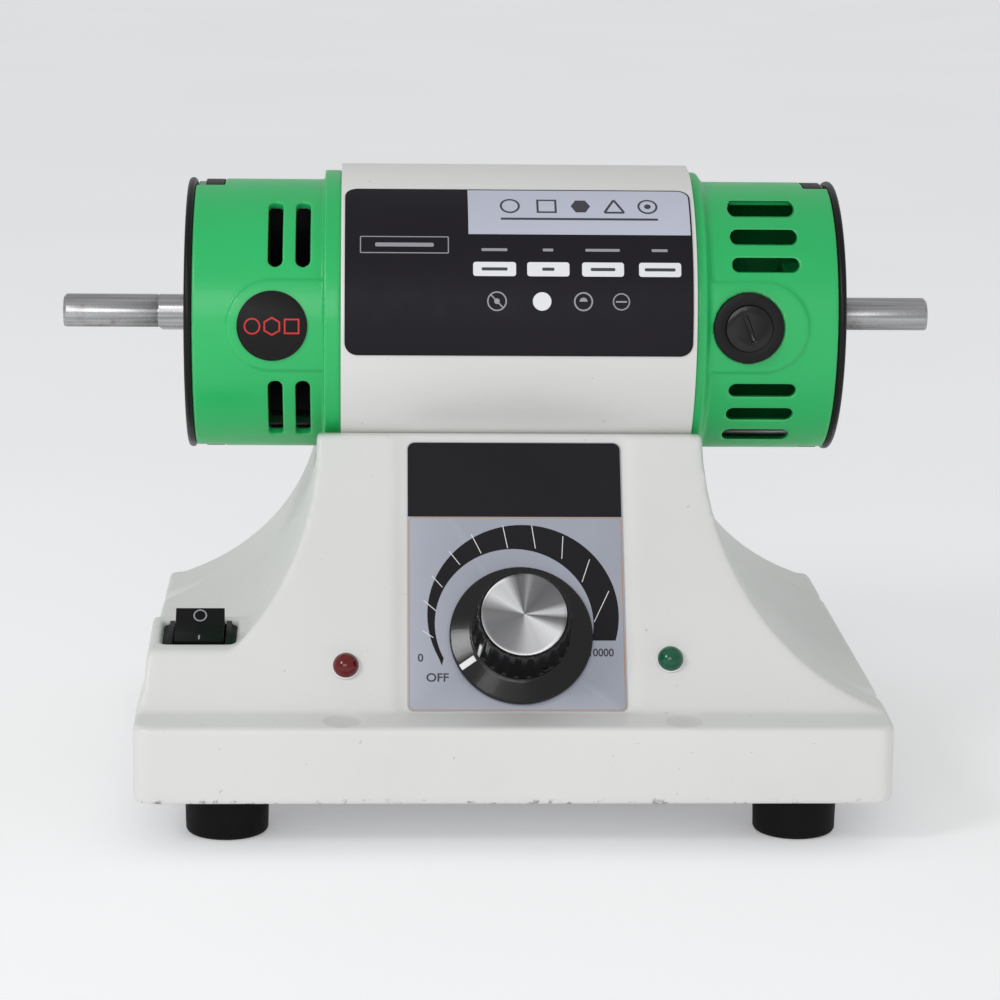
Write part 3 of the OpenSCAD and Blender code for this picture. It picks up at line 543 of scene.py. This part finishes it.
def ring(cx, cy, r0, r1, a0=0, a1=360, n=40):
    out = []
    for i in range(n):
        a, b = (math.radians(a0 + (a1 - a0) * k / n) for k in (i, i + 1))
        out.append([(cx + r1 * math.cos(a), cy + r1 * math.sin(a)), (cx + r1 * math.cos(b), cy + r1 * math.sin(b)),
                    (cx + r0 * math.cos(b), cy + r0 * math.sin(b)), (cx + r0 * math.cos(a), cy + r0 * math.sin(a))])
    return out


def disc(cx, cy, r, n=40):
    return [[(cx + r * math.cos(2 * math.pi * i / n), cy + r * math.sin(2 * math.pi * i / n)) for i in range(n)]]


def stroke(x0, y0, x1, y1, w):
    dx, dy = x1 - x0, y1 - y0
    k = w / 2 / math.hypot(dx, dy)
    return [[(x0 - dy * k, y0 + dx * k), (x0 + dy * k, y0 - dx * k), (x1 + dy * k, y1 - dx * k), (x1 - dy * k, y1 + dx * k)]]


def lettering(text, cx, cy, height, squeeze=1.0):
    """Outlines of plain dial figures, centred."""
    cu = bpy.data.curves.new("figures", "FONT")
    cu.body, cu.size, cu.align_x, cu.align_y = text, 1.0, "CENTER", "CENTER"
    cu.offset = 0.018
    ob = bpy.data.objects.new("figures", cu)
    bpy.context.scene.collection.objects.link(ob)
    bpy.context.view_layer.update()
    me = bpy.data.meshes.new_from_object(ob.evaluated_get(bpy.context.evaluated_depsgraph_get()))
    bpy.data.objects.remove(ob)
    ys = [v.co.y for v in me.vertices]
    xs = [v.co.x for v in me.vertices]
    k = height / (max(ys) - min(ys))
    mx, my = (max(xs) + min(xs)) / 2, (max(ys) + min(ys)) / 2
    out = [[((me.vertices[i].co.x - mx) * k * squeeze + cx, (me.vertices[i].co.y - my) * k + cy) for i in p.vertices] for p in me.polygons]
    bpy.data.meshes.remove(me)
    return out


# ---------------------------------------------------------------- CAD shapes, softened
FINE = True
moulded("base_casting", "cast_stand", M["cast"], 1.15 if FINE else 1.6, 5)
crisp("motor_sleeve", "painted_sleeve", M["sleeve"], 0.7, 3)
moulded("left_shell", "left_shell_moulding", M["green"], 0.5 if FINE else 0.8, 3)
moulded("right_shell", "right_shell_moulding", M["green"], 0.5 if FINE else 0.8, 3)
crisp("left_end_plate", "left_plate", M["black_metal"], 0.3)
crisp("right_end_plate", "right_plate", M["black_metal"], 0.3)
crisp("plate_screw", "left_plate_screw", M["zinc"], 0.15)
crisp("rim_blocks", "rim_nut_blocks", M["black_plastic"], 0.4)
crisp("shell_bolts", "long_bolts", M["bolt"], 0.25)
crisp("spindle", "ground_spindle", M["steel"], 0.12)
crisp("rubber_feet", "moulded_feet", M["rubber"], 0.7, 3)
crisp("brush_holders", "brush_sockets", M["black_plastic"], 0.35)
crisp("brush_caps", "slotted_caps", M["black_gloss"], 0.3)
crisp("switch_housing", "switch_frame", M["black_plastic"], 0.25)
crisp("rocker_key", "switch_key", M["key_plastic"], 0.4, 3)
moulded("knob_body", "speed_knob_moulding", M["black_gloss"], 0.28 if FINE else 0.4, 2)
crisp("knob_pointer", "knob_line", M["white"], 0.06)
crisp("lamp_holders", "lamp_rims", M["white"], 0.2)
crisp("cord_gland", "gland_body", M["black_plastic"], 0.4)
crisp("left_badge", "badge_disc", M["badge"], 0.12)
crisp("control_label", "panel_foil", M["silver"], 0.08)
for n, mt in (("red_lamp_lens", "red_lens"), ("green_lamp_lens", "green_lens")):
    keep(n, M[mt])
    nodes[n].data.shade_smooth()
for n, mt in {
    "bottom_plate": "zinc", "foot_screws": "zinc", "saddle_bolts": "zinc", "armature_core": "lamination",
    "armature_windings": "copper", "commutator": "copper", "cooling_fan": "black_plastic", "stator_core": "lamination",
    "field_coils": "copper", "left_bearing_outer": "steel", "left_bearing_inner": "steel", "left_bearing_balls": "steel",
    "right_bearing_outer": "steel", "right_bearing_inner": "steel", "right_bearing_balls": "steel",
    "carbon_brushes": "carbon", "brush_springs": "brass", "knob_set_screw": "zinc", "potentiometer": "zinc",
    "potentiometer_shaft": "steel", "potentiometer_nut": "zinc", "lamp_nuts": "zinc", "speed_board": "pcb",
    "heat_sink": "alu", "filter_capacitor": "cap_case", "board_posts": "nylon", "motor_lead": "rubber",
}.items():
    keep(n, M[mt])

# spun insert of the knob, in its own frame so that the tool marks run round it
c, s = math.cos(PANEL_A), math.sin(PANEL_A)
panel_rot = Matrix(((1, 0, 0), (0, c, -s), (0, s, c))).to_4x4()
knob_at = Matrix.Translation(on_panel(KNOB[0], KNOB[1], -1.2)) @ panel_rot
cap = lathe("knob_insert", [(0, 21.86), (13.45, 21.86), (13.6, 22.0), (13.6, 22.75), (13.45, 23.05), (13.1, 23.17), (12.4, 23.2), (0, 23.2)],
            M["spun"], "speed_knob", knob_at, 128)
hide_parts("knob_cap")

# ---------------------------------------------------------------- rating plate on the sleeve
R = 50.7
drum = on_drum(R)
deg = math.pi / 180 * R
plate = printed("rating_plate", rrect(-54.3, 58.7, -7.1 * deg, 62 * deg, 4.2, 8), on_drum(R), M["label_black"], "root", 0.37, -0.37, 1.6)
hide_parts("rating_label")
printed("plate_silver_field", rrect(-14.2, 58.2, 39.1 * deg, 61.4 * deg, 3.7, 8, (0, 0, 1, 0)), drum, M["silver_light"], "root", 0.03, 0.0, 1.6)
for i, (x0, x1) in enumerate(((-12.8, 1.1), (4.7, 18.4), (22.5, 36.1), (41.0, 54.7))):
    printed(f"plate_box_{i}", rrect(x0, x1, 22.4 * deg, 27.8 * deg, 0.9), drum, M["ink_white"], "root", 0.03, 0.0, 1.6)
    m = (x0 + x1) / 2
    w = (4.2, 2.0, 4.0, 5.0)[i]
    printed(f"plate_box_bar_{i}", rrect(m - w, m + w, 24.5 * deg, 25.7 * deg, 0.4), drum, M["ink_dark"], "root", 0.02, 0.03, 1.6)
    w = (4.2, 1.7, 5.6, 2.6)[i]
    printed(f"plate_caption_{i}", rrect(m - w, m + w, 32.1 * deg, 33.2 * deg, 0.3), drum, M["ink_grey"], "root", 0.03, 0.0, 1.6)
printed("plate_name_frame", frame_rect(-49.4, -20.6, 31 * deg, 38 * deg, 0.35, 0.4), drum, M["ink_grey"], "root", 0.03, 0.0, 1.6)
printed("plate_name_bar", rrect(-44.5, -25.5, 33.7 * deg, 35.3 * deg, 0.5), drum, M["ink_grey"], "root", 0.03, 0.0, 1.6)
y = 13.1 * deg
icons = {
    "a": ring(-5.1, y, 2.75, 3.2) + stroke(-7.0, y + 2.0, -3.2, y - 2.0, 0.45) + disc(-5.1, y, 0.9),
    "b": disc(9.5, y, 3.0),
    "c": ring(22.9, y, 2.6, 3.1) + ring(22.9, y, 0, 1.3, 0, 180, 16),
    "d": ring(35.2, y, 2.4, 2.8) + stroke(33.4, y, 37.0, y, 0.5),
}
for k, shape in icons.items():
    printed(f"plate_icon_{k}", shape, drum, M["ink_white" if k == "b" else "ink_grey"], "root", 0.03, 0.0, 1.6)
# a row of plain geometric marks with a rule under it
y = 52.5 * deg
marks = (
    ring(-0.5, y, 2.6, 3.3) + frame_rect(8.2, 14.8, y - 3.1, y + 3.1, 0.7) + ring(22.6, y, 0, 3.2, 0, 360, 6)
    + stroke(30.4, y - 2.8, 33.6, y + 3.0, 0.8) + stroke(36.8, y - 2.8, 33.6, y + 3.0, 0.8) + stroke(30.4, y - 2.8, 36.8, y - 2.8, 0.8)
    + ring(44.6, y, 2.6, 3.3) + disc(44.6, y, 1.1)
)
printed("plate_marks", marks, drum, M["ink_dark"], "root", 0.02, 0.03, 1.6)
printed("plate_rule", rrect(-3.6, 47.8, 45.6 * deg, 46.6 * deg, 0.3), drum, M["ink_dark"], "root", 0.02, 0.03, 1.6)

# ---------------------------------------------------------------- badge on the left shell
b = on_drum(46.4, 3.0)
x = -77.8
red = (
    ring(x - 6.4, 0, 2.2, 2.7) + ring(x, 0, 2.5, 3.1, 30, 390, 6) + frame_rect(x + 3.9, x + 8.9, -2.5, 2.5, 0.5)
)
printed("badge_marks", red, b, M["ink_red"], "root", 0.03, 0.0, 1.2)

# ---------------------------------------------------------------- control panel
face = lambda x, t, h: on_panel(x, t, -0.68 + h)
printed("panel_dark_band", rrect(-33.6, 35.9, 66.6, 92.4, 2.4, 8, (0, 0, 1, 1)), face, M["ink_black"], "root", 0.03)
n = 56
outer = [(3.4 + 30.8 * math.cos(math.radians(212 - 228.2 * i / n)), 33 + 30.8 * math.sin(math.radians(212 - 228.2 * i / n))) for i in range(n + 1)]
inner = [(0.5 + 25.5 * math.cos(math.radians(211 - 223.7 * i / n)), 30 + 25.5 * math.sin(math.radians(211 - 223.7 * i / n))) for i in range(n + 1)]
outer[0] = inner[0] = (-22.8, 16.0)
printed("panel_sweep", [[inner[i], outer[i], outer[i + 1], inner[i + 1]] for i in range(n)], face, M["ink_black"], "root", 0.03)
ticks = []
for a, b, c, d in (
    (-28.9, 27.7, -25.5, 25.3), (-28.6, 37.9, -24.5, 34.3), (-25.9, 46.3, -22.5, 42.4), (-20.3, 54.7, -16.8, 50.1), (-13.1, 60.6, -9.9, 54.0),
    (-2.8, 63.6, -1.3, 55.8), (6.6, 63.6, 7.7, 55.7), (16.7, 59.9, 16.2, 52.2), (25.2, 52.0, 22.6, 44.2), (31.2, 41.2, 26.2, 30.6),
):
    ticks += stroke(a, b, c, d, 0.26)
printed("panel_ticks", ticks, face, M["ink_white"], "root", 0.02, 0.03)
printed("panel_border", frame_rect(-33.4, 35.8, 1.0, 66.4, 0.3, 1.6), face, M["ink_tan"], "root", 0.02)
printed("panel_figure_zero", lettering("0", -29.6, 18.6, 2.7, 1.0), face, M["ink_dark"], "root", 0.02)
printed("panel_figure_off", lettering("OFF", -24.2, 12.0, 2.9, 1.05), face, M["ink_dark"], "root", 0.02)
printed("panel_figure_full", lettering("10000", 28.4, 20.4, 2.7, 0.92), face, M["ink_dark"], "root", 0.02)

# ---------------------------------------------------------------- marks of the rocker key
tilt = math.radians(22)
pivot = (-100.6, -66.4 + 3.4 * math.sin(math.radians(10)), 61.1 - 3.4 * math.cos(math.radians(10)))


def on_key(sign):
    rise, base, y0 = (2.1, 5.3, 5.0) if sign > 0 else (0.4, 4.8, 5.2)
    slope = math.atan2(rise, 4.55) * sign

    def f(x, v, h):
        cy, cz = sign * y0, base + (y0 - 3) * rise / 4.55 + 0.02
        y = cy + v * math.cos(slope) - h * math.sin(slope)
        z = cz + v * math.sin(slope) + h * math.cos(slope)
        return P(pivot[0] + x, pivot[1] + y * math.cos(tilt) - z * math.sin(tilt), pivot[2] + y * math.sin(tilt) + z * math.cos(tilt))

    return f


printed("key_off_ring", ring(0, 0, 1.75, 2.2), on_key(1), M["ink_grey"], "rocker", 0.03)
printed("key_on_bar", stroke(0, -1.3, 0, 1.3, 0.55), on_key(-1), M["ink_grey"], "rocker", 0.03)

# ---------------------------------------------------------------- floor and light
bm = bmesh.new()
bmesh.ops.create_grid(bm, x_segments=1, y_segments=1, size=20)
floor_mesh = clean_mesh("floor", bm)
floor = bpy.data.objects.new("floor", floor_mesh)
bpy.context.scene.collection.objects.link(floor)
floor.location.z = -0.0001
fm = Mat("floor")
fm.set(Base_Color=fm.mix(fm.rescale(fm.noise(3, 2), 0.3, 0.7), (0.88, 0.885, 0.89), (0.91, 0.915, 0.92)), Roughness=0.85)
fm.b.inputs["Emission Color"].default_value = (1, 1, 1, 1)
fm.b.inputs["Emission Strength"].default_value = 0.2
floor_mesh.materials.append(fm.m)

world = bpy.data.worlds.new("studio")
bpy.context.scene.world = world
world.use_nodes = True
bg = world.node_tree.nodes["Background"]
bg.inputs[0].default_value = (0.96, 0.965, 0.98, 1)
bg.inputs[1].default_value = 0.60


def area(name, loc, target, size, power, color=(1, 1, 1)):
    li = bpy.data.lights.new(name, "AREA")
    li.shape, li.size, li.size_y, li.energy, li.color = "RECTANGLE", size[0], size[1], power, color
    ob = bpy.data.objects.new(name, li)
    bpy.context.scene.collection.objects.link(ob)
    ob.location = loc
    ob.rotation_euler = (Vector(target) - Vector(loc)).to_track_quat("-Z", "Y").to_euler()
    return ob


area("key", (-0.35, -1.9, 0.70), (0, 0, 0.1), (1.1, 0.7), 6.4)
area("fill", (-0.95, -0.90, 0.93), (0, 0, 0.08), (0.34, 0.42), 4.8)
bpy.context.scene.view_settings.view_transform = "Standard"
